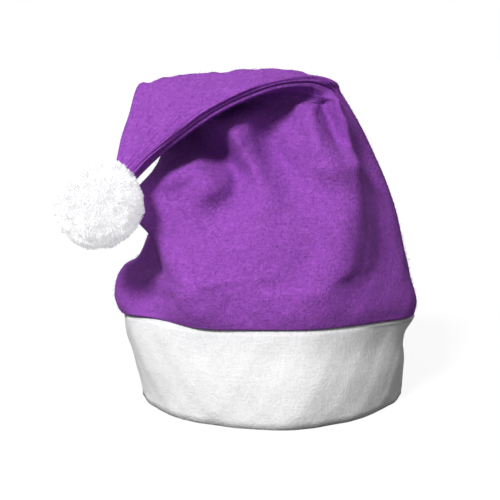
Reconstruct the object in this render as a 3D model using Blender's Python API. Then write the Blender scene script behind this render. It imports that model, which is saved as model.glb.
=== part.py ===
# Santa hat of soft felt, standing on its rim, with the tip folded over to one side.
# Two crown panels and two band strips are joined at a right and a left side seam, whose
# edges roll inwards, and a plush pompom sits on the tip.
# The front of the hat faces -Y, the tip falls towards -X, and the rim stands on Z = 0.

import math
import random
from collections import namedtuple

import bmesh
import bpy
import numpy as np
from mathutils import Matrix, Vector

MM = 0.001  # the sizes and tables below are in millimetres

CROWN_FELT = 1.4
BAND_FELT = 2.0
CROWN_ROLL = 1.7  # radius of the crown's rolled edge at a seam
BAND_ROLL = 2.8
SEAM_GAP = 0.3  # between the two edges of any seam
SEAM_TUCK = 0.5  # straight part of the turned edge inside a seam
COLUMNS = {"front": 29, "back": 12}  # across one panel, between its two seams
ROW_SPACING = 11.5
LOOP_SAMPLES = 240
ROW_SAMPLES = 48  # places round a row that measure how far apart two rows are
TINY = 1e-9
SEAM_STEP = 0.25  # rows above and below that give the way a seam runs
SEAM_NEAR = 0.004  # the part of around that gives the way across a seam

POMPOM_CENTRE = (-110.9, -60, 141.6)
POMPOM_CORE = 22.2  # radius that the locks stand on
POMPOM_LOCK = (4.5, 6.5)  # shortest and longest lock
POMPOM_TAPER = 0.6
POMPOM_POINT = 0.2  # part of a lock that is its point
POMPOM_LEAN = 1.2
POMPOM_SEED = 7
SOCKET_SIDES = 24
SOCKET_ROWS = 1.4  # rows of the crown that the socket takes in
SOCKET_ROOM = 1.0  # how far the pompom's socket stands off the crown's sections

PURPLE = (0.30, 0.065, 0.46)
WHITE = (0.86, 0.86, 0.87)
PLUSH = (0.9, 0.9, 0.92)
ROUGHNESS = 0.95

# One row for each section of the hat. right and left are the two side seams, tilt is the way
# that the back panel bulges (0 straight back, 90 up, 180 forwards), front and back are how
# far each panel stands off the line between the seams, front_lean and back_lean shift that
# bulge to the left, and square is the roundness (1 for an ellipse, less for a fuller form).
Section = namedtuple(
    "Section", "name right left tilt front back front_lean back_lean square"
)

CROWN = [
    Section("hem", (105, 15, 51), (-105, 22, 50), 0, 98, 52, 2, 0, 0.86),
    Section("puff", (106, 15, 62), (-109, 22, 61), 0, 98.5, 54, 2, 0, 0.87),
    Section("lower", (102, 15, 77), (-108, 22, 74), 0, 97, 51, 2, 0, 0.9),
    Section("shelf", (100, 15, 87), (-103, 20, 84), 0, 93.5, 49.5, 2, 0, 0.93),
    Section("belly", (97, 15, 99), (-93, 17, 92), 0, 90, 45, 2, 0, 0.95),
    Section("nose", (91, 14, 125.5), (-84, 14, 114), 2, 80.5, 39.5, 4, 0, 0.95),
    Section("chest", (82.5, 12, 149.5), (-72, 12, 138), 6, 69, 36, 6, 0, 0.95),
    Section("neck", (69.5, 6, 176), (-65, 12, 161), 16, 56, 36, 6, 0, 0.85),
    Section("pocket", (57, -3, 196), (-67, 12, 184), 28, 39, 29, 4, 0, 0.8),
    Section("shoulder", (48, -9, 206), (-78, 8, 204), 44, 18, 17, 2, -4, 0.62),
    Section("under crease", (44, -11, 211), (-84, 3, 212), 62, 10, 10, 0, -11, 0.55),
    Section("crease", (37, -15, 214), (-87, -1, 215.5), 88, 7.5, 7.5, 0, -14, 0.5),
    Section("over crease", (25, -22, 217), (-90, -8, 210), 116, 6.5, 7, -4, -5, 0.5),
    Section("flap", (-1, -38, 214), (-93, -20, 195), 138, 6.5, 7, -7, -2, 0.5),
    Section("drop", (-37, -50, 198.5), (-97, -31, 180.5), 150, 6, 6, -7, 0, 0.5),
    Section("end", (-73.2, -54, 171.5), (-100.2, -44, 163.5), 156, 5.5, 5, -3, 0, 0.5),
    Section("tip", (-95.4, -58, 148), (-107.2, -54, 150), 160, 5, 5, 0, 0, 0.5),
]

BAND = [
    Section("rim", (96, 12, 0), (-89, 18, 0), 0, 106, 70.5, 2, 0, 0.86),
    Section("foot", (96.5, 13, 5), (-90, 18, 5), 0, 106.5, 70, 2, 0, 0.86),
    Section("lower", (98, 14, 19), (-95, 19, 20), 0, 104.5, 66.5, 1, 0, 0.86),
    Section("upper", (99, 15, 35), (-101, 21, 36), 0, 99.5, 58, 0, 0, 0.86),
    Section("hem", (102.5, 15, 51), (-102.5, 22, 50), 0, 96, 50, 0, 0, 0.86),
]

# Ridges, puffs and valleys that press the cloth out of its plain sections. Each runs through
# the places in its path, given as (around, up): around goes from the right seam (0) over the
# front to the left seam (1) and over the back to the right seam (2), and up counts the rows
# of the table. A third number is the share of the push there, if that isn't all of it.
# width is the half width, as a part of around, and push is the way that the cloth moves.
Fold = namedtuple("Fold", "name path width push")

CROWN_FOLDS = [
    Fold("hem rise", [(0.38, 0), (0.7, 0)], 0.3, (0, 0, 11.5)),
    Fold("left nose", [(0.84, 6.6), (0.82, 6.3)], 0.12, (-19, -6, 2)),
    Fold("nose tip", [(0.84, 6.0), (0.82, 5.95)], 0.06, (-12, -3, 0)),
    Fold(
        "left corner", [(0.8, 5.5), (0.77, 4.8), (0.71, 4.1), (0.65, 3.2), (0.63, 0, 0.2)],
        0.06, (-3, -9, 0),
    ),
    Fold("left flat", [(0.89, 4.9), (0.86, 3.4), (0.81, 1.5, 0.8), (0.8, 0, 0.3)], 0.08, (8, 11, 0)),
    Fold("left pocket", [(0.8, 8.2), (0.73, 8.6)], 0.07, (4, 11, 0)),
    Fold("left puff", [(0.77, 7.2), (0.7, 7.4), (0.66, 6.9)], 0.06, (-2, -12, 3)),
    Fold(
        "hook valley", [(0.68, 8.5), (0.62, 8.0), (0.585, 7.3), (0.59, 6.6, 0.8), (0.63, 5.8, 0.3)],
        0.045, (0, 9, 0),
    ),
    Fold("middle top", [(0.65, 8.7), (0.5, 8.8)], 0.06, (0, -16, 3)),
    Fold("middle ridge", [(0.545, 8.2), (0.53, 7.4), (0.54, 6.2, 0.4)], 0.045, (0, -7, 1)),
    Fold("right valley", [(0.45, 8.3), (0.43, 7.4), (0.44, 6.2, 0.5)], 0.055, (0, 7, 0)),
    Fold("right puff", [(0.25, 9.2), (0.28, 8.2), (0.31, 7.2)], 0.055, (0, -10, 2)),
    Fold("pinch valley", [(0.16, 9.5), (0.17, 8.6), (0.2, 7.8)], 0.045, (-1, 6, 0)),
    Fold("shoulder ridge", [(0.08, 9.5), (0.13, 8.2), (0.2, 7.0)], 0.045, (3, -7, 1)),
    Fold(
        "right corner", [(0.25, 6.9), (0.33, 5.2), (0.37, 3.6), (0.39, 2.0), (0.4, 0, 0.4)],
        0.06, (3, -5, 0),
    ),
    Fold("right flat", [(0.12, 6.8), (0.18, 4.0), (0.2, 0, 0.4)], 0.09, (-4, 6, 0)),
    Fold("crest", [(1.6, 10.3), (1.6, 10.9)], 0.14, (0, 0, 4)),
    Fold("crease dip over", [(1.14, 10.6), (1.14, 11.2)], 0.1, (0, 0, -4)),
    Fold("crease dip under", [(0.86, 10.6), (0.86, 11.2)], 0.1, (0, 0, -4)),
    Fold("flap dip", [(1.92, 12.0), (1.92, 14.5)], 0.05, (0, 3, -1.5)),
]

BAND_FOLDS = [
    Fold("hem rise", [(0.38, 4), (0.7, 4)], 0.3, (0, 0, 11.5)),
    Fold("left corner", [(0.63, 4, 0.2), (0.63, 2, 0)], 0.06, (-3, -9, 0)),
    Fold("left flat", [(0.8, 4, 0.3), (0.8, 2, 0)], 0.08, (8, 11, 0)),
    Fold("front crease", [(0.4, 4, 0.4), (0.46, 0, 0.4)], 0.06, (3, -5, 0)),
    Fold("right flat", [(0.2, 4, 0.4), (0.22, 0, 0.4)], 0.09, (-4, 6, 0)),
    Fold("right lump", [(0.02, 3.8), (0.02, 3.8)], 0.045, (3, -2, 0)),
    Fold("right notch", [(0.02, 3.1), (0.02, 3.1)], 0.045, (-4, 0, 0)),
]
FOLD_ROW = 0.09  # one row counts as much as this part of around

Seam = namedtuple("Seam", "roll gap tuck")
CROWN_SEAM = Seam(CROWN_ROLL, SEAM_GAP, SEAM_TUCK)
BAND_SEAM = Seam(BAND_ROLL, SEAM_GAP, SEAM_TUCK)


def table_values(sections):
    """The table's rows as numbers, one line for each section."""
    return np.array([[*s.right, *s.left, *s[3:]] for s in sections], float)


def between_rows(values, up):
    """A smooth curve through every column of the table, read at the row number up."""
    last = len(values) - 1
    row = min(int(up), last - 1)
    t = up - row
    a, b, c, d = (values[min(max(row + k, 0), last)] for k in (-1, 0, 1, 2))
    if row == 0:
        a = 2 * b - c
    if row == last - 1:
        d = 2 * c - b
    cubic = (3 * (b - c) + d - a) * t**3 + (2 * a - 5 * b + 4 * c - d) * t**2
    return b + 0.5 * (cubic + (c - a) * t)


def fold_strength(fold, around, up):
    """The share of its push that a fold gives to the places around, on the section at row up."""
    strength = np.zeros(len(around))
    points = [(*point, 1)[:3] for point in fold.path]
    for start, end in zip(points, points[1:]):
        a, b = (np.array([p[0], p[1] * FOLD_ROW]) for p in (start, end))
        along = (around - a[0] + 1) % 2 - 1
        here = np.stack([along, np.full(len(around), up * FOLD_ROW - a[1])], axis=1)
        line = b - a
        part_way = np.clip(here @ line / max(line @ line, TINY), 0, 1)
        away = np.linalg.norm(here - part_way[:, None] * line, axis=1)
        share = start[2] + part_way * (end[2] - start[2])
        strength = np.maximum(strength, share * np.exp(-((away / fold.width) ** 2)))
    return strength


def section_loop(values, folds, around, up):
    """Points of the hat's outer surface at the places around, on the section at row up."""
    row = between_rows(values, up)
    right, left = row[0:3], row[3:6]
    tilt, front, back, front_lean, back_lean, square = row[6:12]
    half = (right - left) / 2
    to_left = -half / np.linalg.norm(half)
    tilt = math.radians(tilt)
    backwards = np.array([0, math.cos(tilt), math.sin(tilt)])
    backwards -= to_left * (backwards @ to_left)
    backwards /= np.linalg.norm(backwards)
    angle = np.pi * around[:, None]
    swell = np.sin(angle)
    full = np.abs(swell) ** square
    on_front = swell >= 0
    points = (right + left) / 2 + half * np.cos(angle)
    points = points + backwards * full * np.where(on_front, -front, back)
    lean = np.where(on_front, front_lean, back_lean)
    near_side = (1 - np.sign(lean) * np.cos(angle)) / 2
    points = points + to_left * full * lean * near_side
    for fold in folds:
        strength = fold_strength(fold, around, up)
        points = points + strength[:, None] * np.array(fold.push, float)
    return points


def seam_frame(values, folds, around, up):
    """The seam's point at row up, the way out of the hat there, and the way across it."""
    before, point, after = section_loop(
        values, folds, np.array([around - SEAM_NEAR, around, around + SEAM_NEAR]), up
    )
    last = len(values) - 1
    below, above = (
        section_loop(values, folds, np.array([around]), min(max(up + d, 0), last))[0]
        for d in (-SEAM_STEP, SEAM_STEP)
    )
    path = (above - below) / np.linalg.norm(above - below)
    across = after - before
    across -= path * (across @ path)
    across /= np.linalg.norm(across)
    middle = (between_rows(values, up)[0:3] + between_rows(values, up)[3:6]) / 2
    out = point - middle
    out -= path * (out @ path)
    out -= across * (out @ across)
    return point, out / np.linalg.norm(out), across


def rolled_edge(seam, felt):
    """Depth and side of a rolled edge's points, on its outer and on its inner face.

    They run from the edge's end inside the seam to the place where the panel begins.
    """
    outer = [(seam.roll + seam.tuck, seam.gap / 2)]
    inner = [(seam.roll + seam.tuck, seam.gap / 2 + felt)]
    for degrees in (90, 45, 0):
        reach = math.cos(math.radians(degrees)), math.sin(math.radians(degrees))
        for face, radius in ((outer, seam.roll), (inner, seam.roll - felt)):
            depth = seam.roll - radius * reach[0]
            face.append((depth, seam.gap / 2 + seam.roll - radius * reach[1]))
    return np.array([outer, inner])


def row_middle(values, folds, panel, up, start):
    """The part of a panel's row between its rolled edges, from the right to the left."""
    ends = (0, 1) if panel == "front" else (2, 1)
    points = section_loop(values, folds, np.linspace(*ends, LOOP_SAMPLES), up)
    steps = np.linalg.norm(np.diff(points, axis=0), axis=1)
    run = np.concatenate([[0], np.cumsum(steps)])
    wanted = np.linspace(start, run[-1] - start, COLUMNS[panel] + 2)[1:-1]
    return np.stack([np.interp(wanted, run, points[:, k]) for k in range(3)], axis=1)


def row_ups(values, folds, spacing):
    """Each row of the table, and as many between two of them as the spacing asks for."""
    around = np.linspace(0, 2, ROW_SAMPLES)
    ups = [0]
    for row in range(len(values) - 1):
        low, high = (section_loop(values, folds, around, row + k) for k in (0, 1))
        apart = np.linalg.norm(high - low, axis=1).mean()
        count = max(1, round(apart / spacing))
        ups += [row + (k + 1) / count for k in range(count)]
    return ups


def panel_faces(values, folds, panel, seam, felt, hem_up):
    """A panel's outer and inner face, each a grid of rows from the rim to the top.

    At the row hem_up the panel also rolls inwards, to meet the other hem there.
    """
    sign = 1 if panel == "front" else -1
    edge = rolled_edge(seam, felt)
    ups = row_ups(values, folds, ROW_SPACING)
    start = seam.roll + seam.gap / 2 + felt
    middles = np.array([row_middle(values, folds, panel, up, start) for up in ups])
    normals = np.cross(np.gradient(middles, axis=0), np.gradient(middles, axis=1))
    normals *= sign / np.linalg.norm(normals, axis=2)[:, :, None]
    faces = ([], [])
    for up, middle, normal in zip(ups, middles, normals):
        frames = [seam_frame(values, folds, around, up) for around in (0, 1)]
        layers = [(0, 0, 0, 0)]
        if up == hem_up:
            normal = normal * np.array([1, 1, 0])
            normal /= np.linalg.norm(normal, axis=1)[:, None]
            upwards = 1 if up == 0 else -1
            layers = [(*edge[0, k], *edge[1, k]) for k in (1, 2, 3)][::upwards]
        for outer_depth, outer_side, inner_depth, inner_side in layers:
            hem = (outer_depth, outer_side), (inner_depth, inner_side)
            for face, (hem_depth, hem_side) in enumerate(hem):
                lift = np.array([0, 0, hem_side * (1 if up == 0 else -1)])
                depth = felt if face == 1 and len(layers) == 1 else hem_depth
                row = [middle - normal * depth + lift]
                for (point, out, across), turn in zip(frames, (1, -1)):
                    roll = [
                        point
                        - out * max(d, hem_depth)
                        + across * (side * sign * turn)
                        + lift
                        for d, side in edge[face]
                    ]
                    row = [roll, *row] if turn == 1 else [*row, roll[::-1]]
                faces[face].append(np.concatenate(row))
    return faces


def panel_object(name, faces, material):
    """A felt panel as one closed wall between its outer and its inner face."""
    mesh = bpy.data.meshes.new(name)
    shape = bmesh.new()
    grids = [[[shape.verts.new(Vector(p) * MM) for p in row] for row in f] for f in faces]
    for grid in grids:
        for low, high in zip(grid, grid[1:]):
            for a, b, c, d in zip(low, low[1:], high[1:], high):
                shape.faces.new((a, b, c, d))
    rims = []
    for grid in grids:
        left = [row[-1] for row in grid[1:]]
        right = [row[0] for row in grid[-2:0:-1]]
        rims.append([*grid[0], *left, *grid[-1][-2::-1], *right])
    for k in range(len(rims[0])):
        n = (k + 1) % len(rims[0])
        shape.faces.new((rims[0][k], rims[1][k], rims[1][n], rims[0][n]))
    bmesh.ops.recalc_face_normals(shape, faces=shape.faces)
    for face in shape.faces:
        face.smooth = True
    shape.to_mesh(mesh)
    shape.free()
    mesh.materials.append(material)
    return bpy.data.objects.new(name, mesh)


def felt_material(name, colour):
    material = bpy.data.materials.new(name)
    material.use_nodes = True
    shader = material.node_tree.nodes["Principled BSDF"]
    shader.inputs["Base Color"].default_value = (*colour, 1)
    shader.inputs["Roughness"].default_value = ROUGHNESS
    shader.inputs["Metallic"].default_value = 0
    return material


def pompom_object(material):
    """A plush ball: each cell of a soccer-ball net drawn out into a tapered lock."""
    dice = random.Random(POMPOM_SEED)
    shape = bmesh.new()
    bmesh.ops.create_icosphere(shape, subdivisions=3, radius=POMPOM_CORE * MM)
    cells = bpy.data.meshes.new("pompom")
    net = bmesh.new()
    corners = {f: net.verts.new(f.calc_center_median()) for f in shape.faces}
    for vert in shape.verts:
        ring = ordered_ring(vert)
        net.faces.new([corners[f] for f in ring])
    shape.free()
    locks = list(net.faces)
    for face in locks:
        middle = face.calc_center_median().normalized()
        lean = Vector([dice.uniform(-1, 1) for _ in range(3)])
        length = dice.uniform(*POMPOM_LOCK) * MM
        made = bmesh.ops.extrude_discrete_faces(net, faces=[face])["faces"][0]
        centre = made.calc_center_median()
        for vert in made.verts:
            vert.co = centre + (vert.co - centre) * POMPOM_TAPER
            vert.co += middle * length * (1 - POMPOM_POINT) + lean * POMPOM_LEAN * MM
        bmesh.ops.poke(net, faces=[made], offset=length * POMPOM_POINT)
    bmesh.ops.recalc_face_normals(net, faces=net.faces)
    bmesh.ops.translate(net, verts=net.verts, vec=Vector(POMPOM_CENTRE) * MM)
    net.to_mesh(cells)
    net.free()
    cells.materials.append(material)
    for face in cells.polygons:
        face.use_smooth = True
    return bpy.data.objects.new("pompom", cells)


def socket_object(values, folds):
    """The room that the crown's tip takes in the pompom, from outside it to past the tip."""
    around = np.linspace(0, 2, SOCKET_SIDES, endpoint=False)
    last = len(values) - 1
    mesh = bpy.data.meshes.new("tip_socket")
    shape = bmesh.new()
    rings = []
    for up in np.linspace(last - SOCKET_ROWS, last, 3):
        loop = section_loop(values, folds, around, up)
        middle = loop.mean(axis=0)
        away = loop - middle
        away *= 1 + SOCKET_ROOM / np.linalg.norm(away, axis=1)[:, None]
        rings.append(middle + away)
    ahead = rings[-1].mean(axis=0) - rings[-2].mean(axis=0)
    rings.append(rings[-1] + ahead / np.linalg.norm(ahead) * SOCKET_ROOM)
    grid = [[shape.verts.new(Vector(p) * MM) for p in ring] for ring in rings]
    for low, high in zip(grid, grid[1:]):
        for k in range(len(low)):
            n = (k + 1) % len(low)
            shape.faces.new((low[k], low[n], high[n], high[k]))
    shape.faces.new(grid[0])
    shape.faces.new(grid[-1][::-1])
    bmesh.ops.recalc_face_normals(shape, faces=shape.faces)
    shape.to_mesh(mesh)
    shape.free()
    socket = bpy.data.objects.new("tip_socket", mesh)
    socket.hide_render = True
    socket.display_type = "WIRE"
    return socket


def ordered_ring(vert):
    """The faces round a vertex of a closed mesh, in order."""
    ring = [vert.link_faces[0]]
    while len(ring) < len(vert.link_faces):
        for face in vert.link_faces:
            shared = [e for e in face.edges if e in ring[-1].edges and vert in e.verts]
            if face not in ring and shared:
                ring.append(face)
                break
    return ring


def centre_hat(objects):
    """Move the meshes so that the middle of their box stands on the origin."""
    points = [vert.co for thing in objects for vert in thing.data.vertices]
    low, high = (Vector([pick(p[k] for p in points) for k in range(3)]) for pick in (min, max))
    move = Vector((-(low.x + high.x) / 2, -(low.y + high.y) / 2, -low.z))
    for thing in objects:
        thing.data.transform(Matrix.Translation(move))
    return move


def main():
    for old in list(bpy.data.objects):
        bpy.data.objects.remove(old)
    purple = felt_material("purple_felt", PURPLE)
    white = felt_material("white_felt", WHITE)
    plush = felt_material("white_plush", PLUSH)
    parts = bpy.data.collections.new("santa_hat")
    bpy.context.scene.collection.children.link(parts)
    crown, band = table_values(CROWN), table_values(BAND)
    for panel in ("front", "back"):
        faces = panel_faces(crown, CROWN_FOLDS, panel, CROWN_SEAM, CROWN_FELT, 0)
        parts.objects.link(panel_object(f"crown_{panel}", faces, purple))
        top = len(band) - 1
        faces = panel_faces(band, BAND_FOLDS, panel, BAND_SEAM, BAND_FELT, top)
        for face in faces:
            face[0][:, 2] = 0  # the rim is cut level and stands on the ground
        parts.objects.link(panel_object(f"band_{panel}", faces, white))
    pompom = pompom_object(plush)
    parts.objects.link(pompom)
    socket = socket_object(crown, CROWN_FOLDS)
    cutters = bpy.data.collections.new("cutters")
    bpy.context.scene.collection.children.link(cutters)
    cutters.objects.link(socket)
    cut = pompom.modifiers.new("Socket", "BOOLEAN")
    cut.operation = "DIFFERENCE"
    cut.solver = "EXACT"
    cut.object = socket
    move = centre_hat(parts.objects)
    socket.data.transform(Matrix.Translation(move))
    return move


placed = main()  # how far the hat was moved
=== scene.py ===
import math

import bmesh
import bpy
import numpy as np
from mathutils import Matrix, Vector, noise


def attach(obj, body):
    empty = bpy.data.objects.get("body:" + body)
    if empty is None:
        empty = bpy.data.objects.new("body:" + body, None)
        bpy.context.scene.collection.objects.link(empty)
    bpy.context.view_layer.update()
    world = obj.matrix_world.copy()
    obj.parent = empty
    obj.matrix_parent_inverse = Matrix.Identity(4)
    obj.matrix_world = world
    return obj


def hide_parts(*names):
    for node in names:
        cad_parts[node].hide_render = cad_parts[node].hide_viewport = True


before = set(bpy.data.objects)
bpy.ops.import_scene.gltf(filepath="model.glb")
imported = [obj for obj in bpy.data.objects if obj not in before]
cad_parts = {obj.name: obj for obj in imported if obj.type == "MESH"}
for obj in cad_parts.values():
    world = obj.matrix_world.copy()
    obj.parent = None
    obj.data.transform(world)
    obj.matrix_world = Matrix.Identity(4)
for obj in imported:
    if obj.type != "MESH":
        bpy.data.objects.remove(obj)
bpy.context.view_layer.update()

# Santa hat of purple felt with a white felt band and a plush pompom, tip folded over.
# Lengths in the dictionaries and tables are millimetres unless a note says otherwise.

mm = 0.001
scene = bpy.context.scene

hatShift = Vector((15.845, 3.642, 0.0))  # from the tables' frame to the row's

# ---- camera

camera = {
    "place": (-12.6, -800, 245),
    "aim": (-12.6, 0, 100),
    "lens": 83.626,
    "sensor": 36,
}


def addCamera():
    data = bpy.data.cameras.new("photoCamera")
    data.lens = camera["lens"]
    data.sensor_width = camera["sensor"]
    thing = bpy.data.objects.new("photoCamera", data)
    scene.collection.objects.link(thing)
    place, aim = ((Vector(camera[key]) + hatShift) * mm for key in ("place", "aim"))
    thing.location = place
    thing.rotation_mode = "QUATERNION"
    thing.rotation_quaternion = (aim - place).to_track_quat("-Z", "Y")
    scene.camera = thing


# ---- the felt's surface, as rows of sections and the folds that press it

cloth = {
    "crown": {"thick": 1.4, "roll": 1.5, "hemRoll": 1.45, "gap": 0.06, "tuck": 0.5},
    "band": {"thick": 2.0, "roll": 2.6, "hemRoll": 2.1, "gap": 0.06, "tuck": 0.5},
    "rowStep": 2.2,
    "columns": {"front": 120, "back": 96},
    "rollSteps": 6,  # across a quarter turn of a rolled edge
    "foldRow": 0.09,  # one row counts as much as this part of around
    "samples": 700,  # points that measure a section's way round
    "rowSamples": 48,  # points that measure how far apart two rows are
    "nearSeam": 0.004,  # part of around on each side of a seam
    "nearRow": 0.25,
    "softening": 6,  # rounds that even out the normals
}

# name, right seam, left seam, tilt of the back, front and back bulge, their lean, squareness
crownRows = [
    ("hem", (105, 15, 51), (-105, 22, 50), 0, 98, 52, 2, 0, 0.86),
    ("puff", (106, 15, 62), (-109, 22, 61), 0, 98.5, 54, 2, 0, 0.87),
    ("lower", (102, 15, 77), (-108, 22, 74), 0, 97, 51, 2, 0, 0.9),
    ("shelf", (100, 15, 87), (-103, 20, 84), 0, 93.5, 49.5, 2, 0, 0.93),
    ("belly", (97, 15, 99), (-93, 17, 92), 0, 90, 45, 2, 0, 0.95),
    ("nose", (91, 14, 125.5), (-84, 14, 114), 2, 80.5, 39.5, 4, 0, 0.95),
    ("chest", (82.5, 12, 149.5), (-72, 12, 138), 6, 69, 36, 6, 0, 0.95),
    ("neck", (69.5, 6, 176), (-65, 12, 161), 16, 56, 36, 6, 0, 0.85),
    ("pocket", (57, -3, 196), (-67, 12, 184), 28, 39, 29, 4, 0, 0.8),
    ("shoulder", (48, -9, 206), (-78, 8, 204), 44, 18, 17, 2, -4, 0.62),
    ("under crease", (44, -11, 211), (-84, 3, 212), 62, 10, 10, 0, -11, 0.55),
    ("crease", (37, -15, 214), (-87, -1, 215.5), 88, 7.5, 7.5, 0, -14, 0.5),
    ("over crease", (25, -22, 217), (-90, -8, 210), 116, 6.5, 7, -4, -5, 0.5),
    ("flap", (-1, -38, 214), (-93, -20, 195), 138, 6.5, 7, -7, -2, 0.5),
    ("drop", (-37, -50, 198.5), (-97, -31, 180.5), 150, 6, 6, -7, 0, 0.5),
    ("end", (-73.2, -54, 171.5), (-100.2, -44, 163.5), 156, 5.5, 5, -3, 0, 0.5),
    ("tip", (-95.4, -58, 148), (-107.2, -54, 150), 160, 5, 5, 0, 0, 0.5),
]
bandRows = [
    ("rim", (96, 12, 0), (-89, 18, 0), 0, 106, 70.5, 2, 0, 0.86),
    ("foot", (96.5, 13, 5), (-90, 18, 5), 0, 106.5, 70, 2, 0, 0.86),
    ("lower", (98, 14, 19), (-95, 19, 20), 0, 104.5, 66.5, 1, 0, 0.86),
    ("upper", (99, 15, 35), (-101, 21, 36), 0, 99.5, 58, 0, 0, 0.86),
    ("hem", (102.5, 15, 51), (-102.5, 22, 50), 0, 96, 50, 0, 0, 0.86),
]

# name, the places (around, up, and a share of the push if not all) that it runs through,
# half width as a part of around, push
crownFolds = [
    ("hem rise", [(0.38, 0), (0.7, 0)], 0.3, (0, 0, 11.5)),
    ("left nose", [(0.84, 6.6), (0.82, 6.3)], 0.12, (-19, -6, 2)),
    ("nose tip", [(0.84, 6.0), (0.82, 5.95)], 0.06, (-12, -3, 0)),
    (
        "left corner",
        [(0.8, 5.5), (0.77, 4.8), (0.7, 4.1), (0.64, 3.2), (0.62, 0, 0.3)],
        0.06,
        (-3, -11, 0),
    ),
    ("left flat", [(0.89, 4.9), (0.85, 3.4), (0.78, 1.5, 0.9), (0.76, 0, 0.4)], 0.09, (8, 13, 0)),
    ("left pocket", [(0.8, 8.2), (0.73, 8.6)], 0.07, (4, 11, 0)),
    ("left puff", [(0.77, 7.2), (0.7, 7.4), (0.66, 6.9)], 0.06, (-2, -13, 3)),
    (
        "hook valley",
        [(0.68, 8.5), (0.62, 8.0), (0.585, 7.3), (0.59, 6.6, 0.8), (0.63, 5.8, 0.3)],
        0.05,
        (0, 13, 0),
    ),
    ("middle top", [(0.65, 8.7), (0.5, 8.8)], 0.06, (0, -16, 3)),
    ("middle ridge", [(0.545, 8.2), (0.53, 7.4), (0.54, 6.2, 0.4)], 0.045, (0, -8, 1)),
    ("right valley", [(0.45, 8.3), (0.43, 7.4), (0.44, 6.2, 0.5)], 0.055, (0, 10, 0)),
    ("right puff", [(0.25, 9.2), (0.28, 8.2), (0.31, 7.2)], 0.055, (0, -10, 2)),
    ("pinch valley", [(0.16, 9.5), (0.17, 8.6), (0.2, 7.8)], 0.032, (-1, 6, 0)),
    ("shoulder ridge", [(0.08, 9.5), (0.13, 8.2), (0.2, 7.0)], 0.04, (3, -7, 1)),
    (
        "right corner",
        [(0.25, 6.9), (0.33, 5.2), (0.37, 3.6), (0.39, 2.0), (0.4, 0, 0.4)],
        0.06,
        (3, -5, 0),
    ),
    ("right flat", [(0.12, 6.8), (0.18, 4.0), (0.2, 0, 0.5)], 0.09, (-4, 9, 0)),
    ("crest", [(1.6, 10.3), (1.6, 10.9)], 0.14, (0, 0, 4)),
    ("crease dip over", [(1.14, 10.6), (1.14, 11.2)], 0.1, (0, 0, -4)),
    ("crease dip under", [(0.86, 10.6), (0.86, 11.2)], 0.1, (0, 0, -4)),
    ("flap dip", [(1.92, 12.0), (1.92, 14.5)], 0.05, (0, 3, -1.5)),
]
bandFolds = [
    ("hem rise", [(0.38, 4), (0.7, 4)], 0.3, (0, 0, 11.5)),
    ("left corner", [(0.63, 4, 0.2), (0.63, 2, 0)], 0.06, (-3, -9, 0)),
    ("left flat", [(0.8, 4, 0.3), (0.8, 2, 0)], 0.08, (8, 11, 0)),
    ("front crease", [(0.4, 4, 0.4), (0.46, 0, 0.4)], 0.06, (3, -5, 0)),
    ("right flat", [(0.2, 4, 0.4), (0.22, 0, 0.4)], 0.09, (-4, 6, 0)),
    ("right lump", [(0.02, 3.8), (0.02, 3.8)], 0.045, (3, -2, 0)),
    ("right notch", [(0.02, 3.1), (0.02, 3.1)], 0.045, (-4, 0, 0)),
]

# soft unevenness of the felt: waves round the hat, waves up it, phase, height
feltWaves = [(9, 1.3, 0.4, 0.35), (14, -2.1, 2.2, 0.28), (23, 3.4, 4.1, 0.16)]
feltWaves += [(31, -4.7, 1.2, 0.12), (47, 6.5, 5.2, 0.08)]


def tableValues(rows):
    return np.array([[*right, *left, *rest] for _, right, left, *rest in rows], float)


def rowAt(values, up):
    # a smooth curve through every column of the table
    last = len(values) - 1
    row = min(int(up), last - 1)
    t = up - row
    a, b, c, d = (values[min(max(row + k, 0), last)] for k in (-1, 0, 1, 2))
    if row == 0:
        a = 2 * b - c
    if row == last - 1:
        d = 2 * c - b
    cubic = (3 * (b - c) + d - a) * t**3 + (2 * a - 5 * b + 4 * c - d) * t**2
    return b + 0.5 * (cubic + (c - a) * t)


def foldStrength(path, width, around, up):
    # the fold's share of its push: whole on its line, less towards a share of its own
    foldRow = cloth["foldRow"]
    strength = np.zeros(len(around))
    points = [(*point, 1)[:3] for point in path]
    for start, end in zip(points, points[1:]):
        a, b = (np.array([p[0], p[1] * foldRow]) for p in (start, end))
        along = (around - a[0] + 1) % 2 - 1
        here = np.stack([along, np.full(len(around), up * foldRow - a[1])], axis=1)
        line = b - a
        partWay = np.clip(here @ line / max(line @ line, 1e-9), 0, 1)
        away = np.linalg.norm(here - partWay[:, None] * line, axis=1)
        share = start[2] + partWay * (end[2] - start[2])
        strength = np.maximum(strength, share * np.exp(-((away / width) ** 2)))
    return strength


def sectionLoop(values, folds, around, up):
    # around: 0 right seam, 1 left seam over the front, 2 right seam again over the back
    row = rowAt(values, up)
    right, left = row[0:3], row[3:6]
    tilt, front, back, frontLean, backLean, square = row[6:12]
    half = (right - left) / 2
    toLeft = -half / np.linalg.norm(half)
    tilt = math.radians(tilt)
    backwards = np.array([0, math.cos(tilt), math.sin(tilt)])
    backwards -= toLeft * (backwards @ toLeft)
    backwards /= np.linalg.norm(backwards)
    angle = np.pi * around[:, None]
    swell = np.sin(angle)
    full = np.abs(swell) ** square
    onFront = swell >= 0
    points = (right + left) / 2 + half * np.cos(angle)
    points = points + backwards * full * np.where(onFront, -front, back)
    lean = np.where(onFront, frontLean, backLean)
    nearSide = (1 - np.sign(lean) * np.cos(angle)) / 2
    points = points + toLeft * full * lean * nearSide
    for _, path, width, push in folds:
        strength = foldStrength(path, width, around, up)
        points = points + strength[:, None] * np.array(push, float)
    return points


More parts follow.
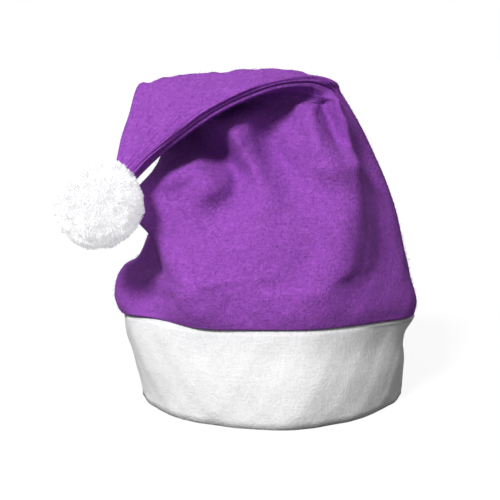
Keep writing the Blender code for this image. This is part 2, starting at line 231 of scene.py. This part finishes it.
def seamFrame(values, folds, around, up):
    near, rowStep = cloth["nearSeam"], cloth["nearRow"]
    before, point, after = sectionLoop(
        values, folds, np.array([around - near, around, around + near]), up
    )
    last = len(values) - 1
    below, above = (
        sectionLoop(values, folds, np.array([around]), min(max(up + step, 0), last))[0]
        for step in (-rowStep, rowStep)
    )
    path = (above - below) / np.linalg.norm(above - below)
    across = after - before
    across -= path * (across @ path)
    across /= np.linalg.norm(across)
    middle = (rowAt(values, up)[0:3] + rowAt(values, up)[3:6]) / 2
    out = point - middle
    out -= path * (out @ path)
    out -= across * (out @ across)
    return point, out / np.linalg.norm(out), across


def rolledEdge(kind):
    # depth and side of the outer and the inner face, from the edge's end to the panel
    roll, gap, thick = kind["roll"], kind["gap"], kind["thick"]
    outer = [(roll + kind["tuck"], gap / 2)]
    inner = [(roll + kind["tuck"], gap / 2 + thick)]
    for degrees in np.linspace(90, 0, cloth["rollSteps"] + 1):
        turn = math.radians(degrees)
        for face, radius in ((outer, roll), (inner, roll - thick)):
            side = gap / 2 + roll - radius * math.sin(turn)
            face.append((roll - radius * math.cos(turn), side))
    return np.array([outer, inner])


def rowMiddle(values, folds, panel, up, start):
    ends = (0, 1) if panel == "front" else (2, 1)
    points = sectionLoop(values, folds, np.linspace(*ends, cloth["samples"]), up)
    steps = np.linalg.norm(np.diff(points, axis=0), axis=1)
    run = np.concatenate([[0], np.cumsum(steps)])
    wanted = np.linspace(start, run[-1] - start, cloth["columns"][panel] + 2)[1:-1]
    return np.stack([np.interp(wanted, run, points[:, k]) for k in range(3)], axis=1)


def rowUps(values, folds):
    around = np.linspace(0, 2, cloth["rowSamples"])
    ups = [0]
    for row in range(len(values) - 1):
        low, high = (sectionLoop(values, folds, around, row + k) for k in (0, 1))
        apart = np.linalg.norm(high - low, axis=1).mean()
        count = max(1, round(apart / cloth["rowStep"]))
        ups += [row + (k + 1) / count for k in range(count)]
    return ups


def softened(field, times):
    # each point of a grid of vectors becomes the mean of itself and its neighbours
    for _ in range(times):
        for axis in (0, 1):
            edge = [(0, 0), (0, 0), (0, 0)]
            edge[axis] = (1, 1)
            wide = np.pad(field, edge, mode="edge")
            low, high = (np.take(wide, range(k, k + field.shape[axis]), axis) for k in (0, 2))
            field = (low + 2 * field + high) / 4
    return field


def panelFaces(values, folds, panel, kind, hemUp):
    sign = 1 if panel == "front" else -1
    edge = rolledEdge(kind)
    hemEdge = rolledEdge(kind | {"roll": kind["hemRoll"]})
    thick = kind["thick"]
    ups = rowUps(values, folds)
    start = kind["roll"] + kind["gap"] / 2 + thick / 2
    middles = np.array([rowMiddle(values, folds, panel, up, start) for up in ups])
    normals = np.cross(np.gradient(middles, axis=0), np.gradient(middles, axis=1))
    normals *= sign / np.linalg.norm(normals, axis=2)[:, :, None]
    normals = softened(normals, cloth["softening"])
    normals /= np.linalg.norm(normals, axis=2)[:, :, None]
    around = np.linspace(0, 1, middles.shape[1]) * (1 if panel == "front" else -1)
    fromSeam = np.minimum(1, np.sin(np.pi * np.abs(around)) * 6)
    upGrid = np.array(ups)[:, None]
    wave = 0
    for round_, rise, phase, height in feltWaves:
        wave = wave + height * np.sin(round_ * around * math.pi + rise * upGrid + phase)
    fromHem = np.minimum(1, abs(upGrid - hemUp))
    middles = middles + normals * (wave * fromSeam * fromHem)[:, :, None]
    faces = ([], [])
    for up, middle, normal in zip(ups, middles, normals):
        frames = [seamFrame(values, folds, around, up) for around in (0, 1)]
        layers = [(0, 0, 0, 0)]
        upwards = 1 if up == 0 else -1
        if up == hemUp:
            normal = normal * np.array([1, 1, 0])
            normal /= np.linalg.norm(normal, axis=1)[:, None]
            steps = range(1, hemEdge.shape[1])
            layers = [(*hemEdge[0, k], *hemEdge[1, k]) for k in steps][::upwards]
        for outerDepth, outerSide, innerDepth, innerSide in layers:
            hem = (outerDepth, outerSide), (innerDepth, innerSide)
            for face, (hemDepth, hemSide) in enumerate(hem):
                lift = np.array([0, 0, hemSide * upwards])
                depth = thick if face == 1 and len(layers) == 1 else hemDepth
                row = [middle - normal * depth + lift]
                for (point, out, across), turn in zip(frames, (1, -1)):
                    roll = [
                        point
                        - out * max(d, hemDepth)
                        + across * (side * sign * turn)
                        + lift
                        for d, side in edge[face]
                    ]
                    row = [roll, *row] if turn == 1 else [*row, roll[::-1]]
                faces[face].append(np.concatenate(row))
    return faces


def feltPanel(name, faces, material):
    mesh = bpy.data.meshes.new(name)
    shape = bmesh.new()
    move = hatShift * mm
    grids = [[[shape.verts.new(Vector(p) * mm + move) for p in row] for row in f] for f in faces]
    for grid in grids:
        for low, high in zip(grid, grid[1:]):
            for corners in zip(low, low[1:], high[1:], high):
                shape.faces.new(corners)
    rims = []
    for grid in grids:
        left = [row[-1] for row in grid[1:]]
        right = [row[0] for row in grid[-2:0:-1]]
        rims.append([*grid[0], *left, *grid[-1][-2::-1], *right])
    outer, inner = rims
    for k in range(len(outer)):
        n = (k + 1) % len(outer)
        shape.faces.new((outer[k], inner[k], inner[n], outer[n]))
    bmesh.ops.recalc_face_normals(shape, faces=shape.faces)
    for face in shape.faces:
        face.smooth = True
    shape.to_mesh(mesh)
    shape.free()
    mesh.materials.append(material)
    thing = bpy.data.objects.new(name, mesh)
    scene.collection.objects.link(thing)
    return thing


# ---- shader recipes


class Wire:
    # a shader socket that can stand in a Python sum

    def __init__(self, recipe, socket):
        self.recipe = recipe
        self.socket = socket

    def maths(self, operation, first, second=None, third=None):
        values = {k: v for k, v in enumerate((first, second, third)) if v is not None}
        return self.recipe.node("ShaderNodeMath", {"operation": operation}, values)

    def __add__(self, other):
        return self.maths("ADD", self, other)

    def __sub__(self, other):
        return self.maths("SUBTRACT", self, other)

    def __rsub__(self, other):
        return self.maths("SUBTRACT", other, self)

    def __mul__(self, other):
        return self.maths("MULTIPLY", self, other)

    def __pow__(self, other):
        return self.maths("POWER", self, other)

    __radd__ = __add__
    __rmul__ = __mul__

    def __abs__(self):
        return self.maths("ABSOLUTE", self)

    def orMore(self, other):
        return self.maths("MAXIMUM", self, other)

    def span(self, low, high):
        # 0 below low, 1 above high, smooth between
        settings = {"interpolation_type": "SMOOTHSTEP"}
        values = {"Value": self, "From Min": low, "From Max": high}
        return self.recipe.node("ShaderNodeMapRange", settings, values)


class Recipe:
    def __init__(self, name, **fixed):
        self.material = bpy.data.materials.new(name)
        self.material.use_nodes = True
        self.tree = self.material.node_tree
        self.shader = self.tree.nodes["Principled BSDF"]
        for socket, value in fixed.items():
            self.shader.inputs[socket.replace("_", " ")].default_value = value
        self.place = self.node("ShaderNodeTexCoord", {}, {}, "Object")

    def node(self, kind, settings, values, out=0):
        made = self.tree.nodes.new(kind)
        for key, value in settings.items():
            setattr(made, key, value)
        for key, value in values.items():
            if isinstance(value, Wire):
                self.tree.links.new(value.socket, made.inputs[key])
            else:
                made.inputs[key].default_value = value
        return Wire(self, made.outputs[out])

    def noise(self, scale, detail=3, rough=0.5, bend=0, stretch=(1, 1, 1)):
        place = self.node("ShaderNodeMapping", {}, {"Vector": self.place, "Scale": stretch})
        values = {"Vector": place, "Scale": scale, "Detail": detail}
        values |= {"Roughness": rough, "Distortion": bend}
        return self.node("ShaderNodeTexNoise", {"noise_dimensions": "3D"}, values)

    def mix(self, amount, first, second):
        settings = {"data_type": "RGBA"}
        return self.node("ShaderNodeMix", settings, {0: amount, 6: first, 7: second}, 2)

    def bump(self, height, distance, strength=1):
        values = {"Height": height, "Distance": distance, "Strength": strength}
        return self.node("ShaderNodeBump", {}, values, "Normal")

    def feed(self, **links):
        for socket, wire in links.items():
            self.tree.links.new(wire.socket, self.shader.inputs[socket.replace("_", " ")])
        return self.material


def feltRecipe(name, look):
    recipe = Recipe(
        name,
        Metallic=0.0,
        Specular_IOR_Level=0.2,
        Sheen_Weight=look["sheen"],
        Sheen_Roughness=0.45,
        Sheen_Tint=(*look["sheenTint"], 1),
    )
    clouds = recipe.noise(look["cloudScale"], 3, 0.5)
    mottle = recipe.noise(look["mottleScale"], 4, 0.62, 0.6).span(0.3, 0.7)
    fleck = recipe.noise(look["fleckScale"], 2, 0.5, 1.5).span(0.52, 0.72)
    strandA = recipe.noise(look["strandScale"], 2, 0.5, 2.5, (1, 1, 0.28))
    strandB = recipe.noise(look["strandScale"], 2, 0.5, 2.5, (0.3, 0.3, 1))
    strand, cross = (
        (1 - abs(strands - 0.5) * look["strandSharpness"]).orMore(0)
        for strands in (strandA, strandB)
    )
    fibres = strand.orMore(cross)
    base = recipe.mix(mottle, (*look["dark"], 1), (*look["light"], 1))
    base = recipe.mix(clouds.span(0.35, 0.65) * look["cloudShare"], base, (*look["cloud"], 1))
    base = recipe.mix(fibres * look["fibreShare"], base, (*look["fibre"], 1))
    base = recipe.mix(fleck * look["fleckShare"], base, (*look["fleck"], 1))
    height = mottle * 0.6 + fibres * 0.5 + clouds * 0.8
    rough = 0.8 + mottle * 0.15
    return recipe.feed(
        Base_Color=base,
        Roughness=rough,
        Normal=recipe.bump(height, look["relief"] * mm),
    )


purpleLook = {
    "dark": (0.215, 0.046, 0.345),
    "light": (0.32, 0.086, 0.465),
    "cloud": (0.26, 0.06, 0.40),
    "cloudShare": 0.5,
    "fibre": (0.38, 0.11, 0.54),
    "fibreShare": 0.4,
    "fleck": (0.44, 0.16, 0.60),
    "fleckShare": 0.25,
    "cloudScale": 60,
    "mottleScale": 420,
    "fleckScale": 800,
    "strandScale": 300,
    "strandSharpness": 14,
    "relief": 0.35,
    "sheen": 0.03,
    "sheenTint": (0.85, 0.6, 1.0),
}
whiteLook = purpleLook | {
    "dark": (0.69, 0.69, 0.70),
    "light": (0.74, 0.74, 0.745),
    "cloud": (0.71, 0.71, 0.72),
    "fibre": (0.79, 0.79, 0.79),
    "fleck": (0.71, 0.71, 0.73),
    "sheen": 0.05,
    "relief": 0.18,
    "sheenTint": (1, 1, 1),
}


# the plush gives off a painted glow of its own, which stands in for the light that scatters
# through the pile
def plushRecipe():
    recipe = Recipe(
        "whitePlushPile",
        Metallic=0.0,
        Specular_IOR_Level=0.2,
        Sheen_Weight=0.5,
        Sheen_Roughness=0.5,
        Emission_Color=(1, 1, 1, 1),
        Emission_Strength=0.25,  # painted glow: the pile and its core glow to stand in for light that scatters through the pile
    )
    tufts = recipe.noise(150, 2, 0.5).span(0.35, 0.65)
    fine = recipe.noise(900, 2, 0.5)
    base = recipe.mix(tufts, (0.93, 0.93, 0.95, 1), (0.98, 0.98, 0.98, 1))
    return recipe.feed(
        Base_Color=base,
        Roughness=0.85 + fine * 0.1,
        Normal=recipe.bump(fine, 0.3 * mm),
    )


# ---- fibres: a tree that plants short bent hairs on a surface


class Tree:
    def __init__(self, name, sizes):
        self.group = bpy.data.node_groups.new(name, "GeometryNodeTree")
        face = self.group.interface
        face.new_socket("Geometry", in_out="INPUT", socket_type="NodeSocketGeometry")
        face.new_socket("Geometry", in_out="OUTPUT", socket_type="NodeSocketGeometry")
        self.keys = {}
        for title, value in sizes.items():
            kind = "NodeSocketInt" if isinstance(value, int) else "NodeSocketFloat"
            socket = face.new_socket(title, in_out="INPUT", socket_type=kind)
            socket.default_value = value
            self.keys[title] = socket.identifier
        self.start = self.group.nodes.new("NodeGroupInput")
        self.end = self.group.nodes.new("NodeGroupOutput")

    def size(self, title):
        return next(s for s in self.start.outputs if s.identifier == self.keys[title])

    def node(self, kind, settings, values, out=0):
        made = self.group.nodes.new(kind)
        for key, value in settings.items():
            setattr(made, key, value)
        for key, value in values.items():
            if isinstance(value, bpy.types.NodeSocket):
                self.group.links.new(value, made.inputs[key])
            else:
                made.inputs[key].default_value = value
        return made.outputs[out]

    def vector(self, operation, first, second=None, scale=None):
        values = {0: first}
        if second is not None:
            values[1] = second
        if scale is not None:
            values["Scale"] = scale
        out = 1 if operation in ("LENGTH", "DOT_PRODUCT") else 0
        return self.node("ShaderNodeVectorMath", {"operation": operation}, values, out)

    def maths(self, operation, first, second=0.0):
        return self.node("ShaderNodeMath", {"operation": operation}, {0: first, 1: second})


def hairTree(name, sizes, material):
    tree = Tree(name, sizes)
    size, node = tree.size, tree.node
    spread = node(
        "GeometryNodeDistributePointsOnFaces",
        {"distribute_method": "RANDOM"},
        {"Mesh": tree.start.outputs[0], "Density": size("Density"), "Seed": size("Seed")},
    )
    normal = spread.node.outputs["Normal"]
    # the way a hair points: the surface's own, a tuft's lean and its own stray
    position = node("GeometryNodeInputPosition", {}, {})
    lean = node(
        "ShaderNodeTexNoise",
        {"noise_dimensions": "3D"},
        {"Vector": position, "Scale": size("Tuft scale"), "Detail": 1.0},
        "Color",
    )
    lean = tree.vector("SUBTRACT", lean, (0.5, 0.5, 0.5))
    lean = tree.vector("SCALE", lean, scale=size("Tuft lean"))
    stray = node(
        "FunctionNodeRandomValue",
        {"data_type": "FLOAT_VECTOR"},
        {0: (-1.0, -1.0, -1.0), 1: (1.0, 1.0, 1.0), "Seed": size("Seed")},
    )
    stray = tree.vector("SCALE", stray, scale=size("Stray"))
    rise = tree.vector("SCALE", normal, scale=size("Rise"))
    way = tree.vector("ADD", tree.vector("ADD", rise, lean), stray)
    turn = node("FunctionNodeAlignEulerToVector", {"axis": "Z"}, {"Vector": way})
    length = node(
        "FunctionNodeRandomValue",
        {"data_type": "FLOAT"},
        {2: size("Shortest"), 3: size("Longest"), "Seed": size("Seed")},
        1,
    )
    # one hair, a metre long and tapered, scaled where it stands
    line = node("GeometryNodeCurvePrimitiveLine", {}, {"End": (0.0, 0.0, 1.0)})
    line = node("GeometryNodeResampleCurve", {}, {"Curve": line, "Count": size("Points")})
    along = node("GeometryNodeSplineParameter", {}, {}, "Factor")
    taper = tree.maths("SUBTRACT", 1.0, tree.maths("MULTIPLY", along, size("Taper")))
    line = node("GeometryNodeSetCurveRadius", {}, {"Curve": line, "Radius": taper})
    kept = node(
        "GeometryNodeStoreNamedAttribute",
        {"data_type": "FLOAT", "domain": "POINT"},
        {"Geometry": line, "Name": "along", "Value": along},
    )
    ring = node("GeometryNodeCurvePrimitiveCircle", {}, {"Resolution": 3, "Radius": 1.0})
    hair = node("GeometryNodeCurveToMesh", {}, {"Curve": kept, "Profile Curve": ring})
    wide = size("Thickness")
    thin = node("ShaderNodeCombineXYZ", {}, {"X": wide, "Y": wide, "Z": length})
    planted = node(
        "GeometryNodeInstanceOnPoints",
        {},
        {"Points": spread, "Instance": hair, "Rotation": turn, "Scale": thin},
    )
    whole = node("GeometryNodeRealizeInstances", {}, {"Geometry": planted})
    # bend: the further along a hair, the more it drifts
    part = node("GeometryNodeInputNamedAttribute", {"data_type": "FLOAT"}, {"Name": "along"})
    drift = node(
        "ShaderNodeTexNoise",
        {"noise_dimensions": "3D"},
        {"Vector": position, "Scale": size("Curl scale"), "Detail": 0.0},
        "Color",
    )
    drift = tree.vector("SUBTRACT", drift, (0.5, 0.5, 0.5))
    amount = tree.maths("MULTIPLY", tree.maths("POWER", part, 1.5), size("Curl"))
    drift = tree.vector("SCALE", drift, scale=amount)
    bent = node("GeometryNodeSetPosition", {}, {"Geometry": whole, "Offset": drift})
    coated = node("GeometryNodeSetMaterial", {}, {"Geometry": bent, "Material": material})
    tree.group.links.new(coated, tree.end.inputs[0])
    return tree


def hairs(name, surface, sizes, material):
    tree = hairTree(name, sizes, material)
    grower = bpy.data.objects.new(name, surface.data.copy())
    scene.collection.objects.link(grower)
    growth = grower.modifiers.new("hairs", "NODES")
    growth.node_group = tree.group
    for title, value in sizes.items():
        growth[tree.keys[title]] = value
    depsgraph = bpy.context.evaluated_depsgraph_get()
    mesh = bpy.data.meshes.new_from_object(grower.evaluated_get(depsgraph))
    bpy.data.objects.remove(grower)
    mesh.name = name
    thing = bpy.data.objects.new(name, mesh)
    scene.collection.objects.link(thing)
    print(name, len(mesh.polygons), "faces")
    return thing


# ---- pompom

pompom = {
    "centre": (-110.9, -60, 141.6),
    "core": 22.5,
    "lump": 1.6,
    "lumpScale": 0.09,
}
pileSizes = {
    "Density": 2400000.0,  # hairs on a square metre
    "Shortest": 4.5 * mm,
    "Longest": 7.5 * mm,
    "Thickness": 0.2 * mm,
    "Taper": 0.75,
    "Rise": 1.0,
    "Tuft scale": 95.0,
    "Tuft lean": 1.1,
    "Stray": 0.35,
    "Curl": 3.2 * mm,
    "Curl scale": 160.0,
    "Points": 3,
    "Seed": 3,
}


def pompomCore(material):
    shape = bmesh.new()
    bmesh.ops.create_icosphere(shape, subdivisions=5, radius=1)
    centre = Vector(pompom["centre"]) + hatShift
    for vert in shape.verts:
        way = vert.co.normalized()
        lump = noise.noise(way * pompom["core"] * pompom["lumpScale"] + centre)
        vert.co = (centre + way * (pompom["core"] + pompom["lump"] * lump)) * mm
    for face in shape.faces:
        face.smooth = True
    mesh = bpy.data.meshes.new("pompomCore")
    shape.to_mesh(mesh)
    shape.free()
    mesh.materials.append(material)
    thing = bpy.data.objects.new("pompomCore", mesh)
    scene.collection.objects.link(thing)
    return thing


# ---- fibres that stand out of the felt

fuzzSizes = {
    "Density": 140000.0,
    "Shortest": 1.2 * mm,
    "Longest": 2.4 * mm,
    "Thickness": 0.05 * mm,
    "Taper": 0.6,
    "Rise": 0.35,
    "Tuft scale": 60.0,
    "Tuft lean": 1.2,
    "Stray": 1.0,
    "Curl": 2.0 * mm,
    "Curl scale": 300.0,
    "Points": 3,
    "Seed": 11,
}


# ---- floor and light

studio = {
    "keyTurn": -31,  # degrees, to the left of the camera
    "keyHeight": 39,  # degrees above the floor
    "keyWidth": 14,  # degrees that the light covers, for soft shadows
    "keyStrength": 3.65,
    "sky": 0.42,
    "floor": 0.12,
    "floorGlow": 0.85,
    "floorSeen": 0.8,  # how pale the camera sees the floor
    "gamma": 0.93,
    "glowStrength": 1.06,
    "floorSize": 12,  # metres, half a side
    "floorDrop": -0.3,
}


def addSky():
    world = bpy.data.worlds.new("studioSky")
    world.use_nodes = True
    nodes, links = world.node_tree.nodes, world.node_tree.links
    seen = nodes.new("ShaderNodeLightPath").outputs["Is Camera Ray"]
    sky = nodes["Background"]
    backdrop = nodes.new("ShaderNodeBackground")
    blend = nodes.new("ShaderNodeMixShader")
    sky.inputs["Color"].default_value = (1, 1, 1, 1)
    sky.inputs["Strength"].default_value = studio["sky"]
    links.new(seen, blend.inputs[0])
    links.new(sky.outputs[0], blend.inputs[1])
    links.new(backdrop.outputs[0], blend.inputs[2])
    backdrop.inputs["Color"].default_value = (1, 1, 1, 1)
    links.new(blend.outputs[0], nodes["World Output"].inputs[0])
    scene.world = world


def addLight(name):
    light = bpy.data.lights.new(name + "Light", "SUN")
    light.energy = studio[name + "Strength"]
    light.angle = math.radians(studio[name + "Width"])
    lamp = bpy.data.objects.new(name + "Light", light)
    scene.collection.objects.link(lamp)
    turn, height = (math.radians(studio[name + key]) for key in ("Turn", "Height"))
    away = Vector((math.sin(turn), -math.cos(turn), math.tan(height)))
    lamp.location = away
    lamp.rotation_mode = "QUATERNION"
    lamp.rotation_quaternion = (-away).to_track_quat("-Z", "Y")


def addFloor():
    mesh = bpy.data.meshes.new("floor")
    shape = bmesh.new()
    bmesh.ops.create_grid(shape, x_segments=1, y_segments=1, size=studio["floorSize"])
    shape.to_mesh(mesh)
    shape.free()
    floor = bpy.data.objects.new("floor", mesh)
    scene.collection.objects.link(floor)
    recipe = Recipe("paleFloor", Roughness=0.9, Specular_IOR_Level=0.1)
    nodes, links = recipe.tree.nodes, recipe.tree.links
    seen = recipe.node("ShaderNodeLightPath", {}, {}, "Is Camera Ray")
    recipe.feed(Base_Color=seen * (studio["floorSeen"] - studio["floor"]) + studio["floor"])
    glow = nodes.new("ShaderNodeEmission")
    blend = nodes.new("ShaderNodeMixShader")
    links.new((seen * studio["floorGlow"]).socket, blend.inputs[0])
    links.new(recipe.shader.outputs[0], blend.inputs[1])
    links.new(glow.outputs[0], blend.inputs[2])
    links.new(blend.outputs[0], nodes["Material Output"].inputs[0])
    glow.inputs["Color"].default_value = (1, 1, 1, 1)
    glow.inputs["Strength"].default_value = studio["glowStrength"]
    mesh.materials.append(recipe.material)
    floor.location.z = studio["floorDrop"] * mm


def addStudio():
    scene.view_settings.view_transform = "Standard"
    scene.view_settings.gamma = studio["gamma"]
    addSky()
    addLight("key")
    addFloor()


# ---- making the hat

addCamera()
addStudio()
print("camera and studio ready")

purpleFelt = feltRecipe("purpleFelt", purpleLook)
whiteFelt = feltRecipe("whiteFelt", whiteLook)
plush = plushRecipe()

crown, band = tableValues(crownRows), tableValues(bandRows)
panels = {}
for panel in ("front", "back"):
    side = panel.capitalize()
    faces = panelFaces(crown, crownFolds, panel, cloth["crown"], 0)
    panels["crown" + side] = feltPanel("crown" + side, faces, purpleFelt)
    faces = panelFaces(band, bandFolds, panel, cloth["band"], len(band) - 1)
    for face in faces:
        face[0][:, 2] = 0  # cut level
    panels["band" + side] = feltPanel("band" + side, faces, whiteFelt)
print("felt panels made")

core = pompomCore(plush)
pile = hairs("pompomPile", core, pileSizes, plush)
pileTwo = hairs("pompomPileTwo", core, pileSizes | {"Seed": 8}, plush)
fuzz = hairs("crownFuzz", panels["crownFront"], fuzzSizes, purpleFelt)
fuzzBack = hairs("crownFuzzBack", panels["crownBack"], fuzzSizes, purpleFelt)
print("pile and fuzz grown")

for name, thing in panels.items():
    node = name.replace("Front", "_front").replace("Back", "_back")
    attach(thing, "root")
    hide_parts(node)
for thing in (core, pile, pileTwo):
    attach(thing, "root")
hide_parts("pompom")
for thing in (fuzz, fuzzBack):
    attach(thing, "root")
